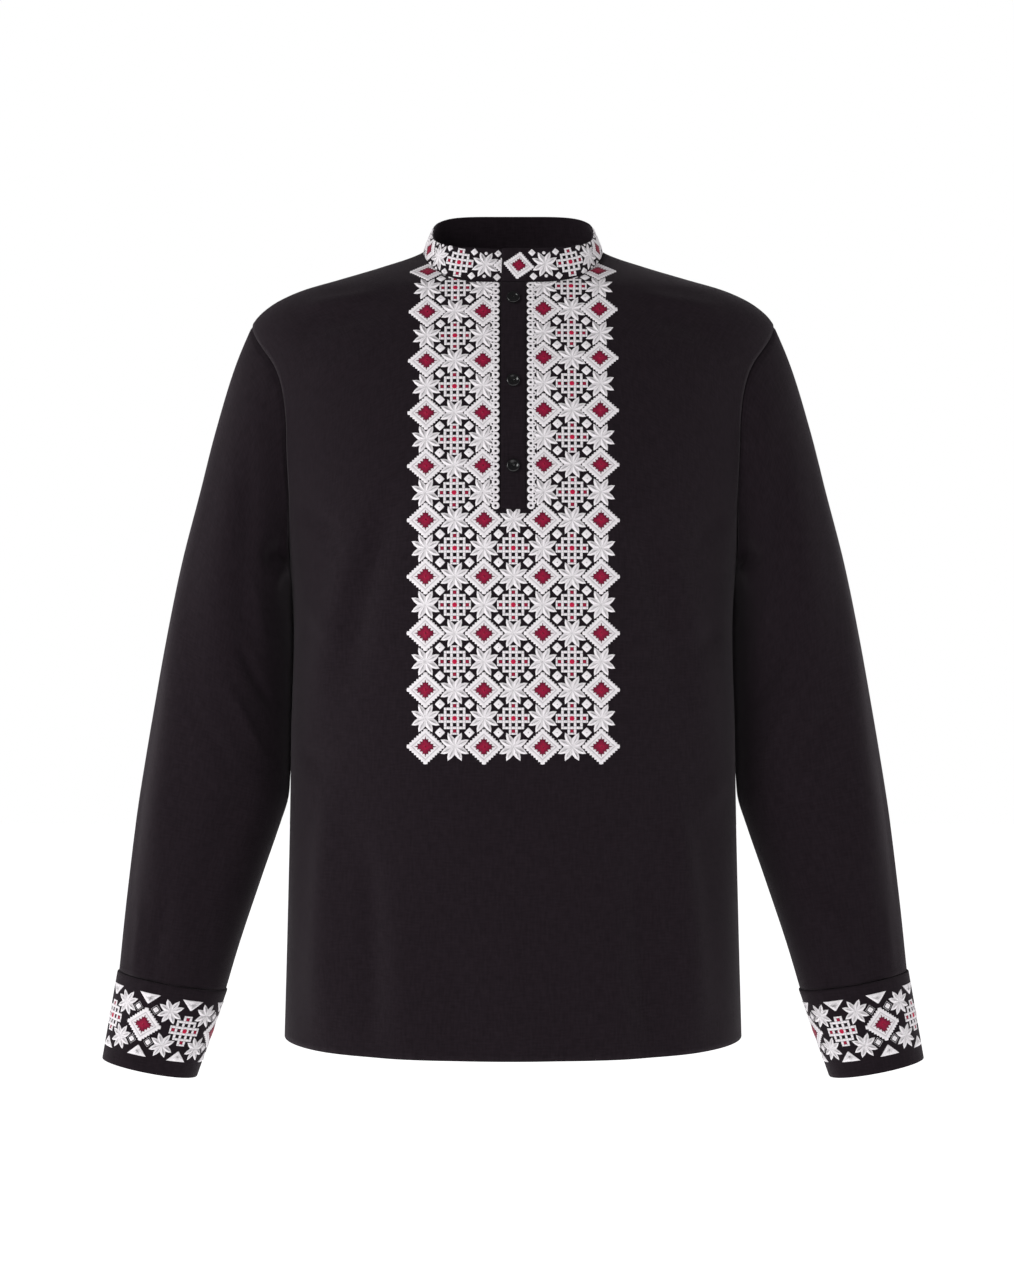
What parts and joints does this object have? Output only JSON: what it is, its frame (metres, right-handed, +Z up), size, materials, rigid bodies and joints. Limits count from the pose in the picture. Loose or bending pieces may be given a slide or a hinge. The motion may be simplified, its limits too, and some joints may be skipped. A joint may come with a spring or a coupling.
{
  "type": "vyshyvanka shirt",
  "caption": "Long-sleeved pullover folk shirt with a stand collar, a buttoned half placket and embroidered front, collar and cuffs, shown filled out as worn.",
  "frame": {"origin": "on the centre line, midway through the neck, at the height where the shoulder line meets the collar", "axes": "+Z up, the front faces -Y, +X towards the wearer's left"},
  "size_m": [0.73, 0.2631, 0.7757],
  "materials": {
    "black_cloth": "matte plain weave",
    "black_button": "polished",
    "white_thread": "satin embroidery thread",
    "crimson_thread": "satin embroidery thread",
    "grey_thread": "satin embroidery thread",
    "black_thread": "sewing thread"
  },
  "bodies": {
    "root": {"front": "black_cloth", "back": "black_cloth", "sleeve_left": "black_cloth", "sleeve_right": "black_cloth", "collar": "black_cloth", "placket_upper": "black_cloth", "placket_under": "black_cloth", "cuff_left": "black_cloth", "cuff_right": "black_cloth", "button_1": "black_button", "button_2": "black_button", "button_3": "black_button"}
  },
  "joints": []
}
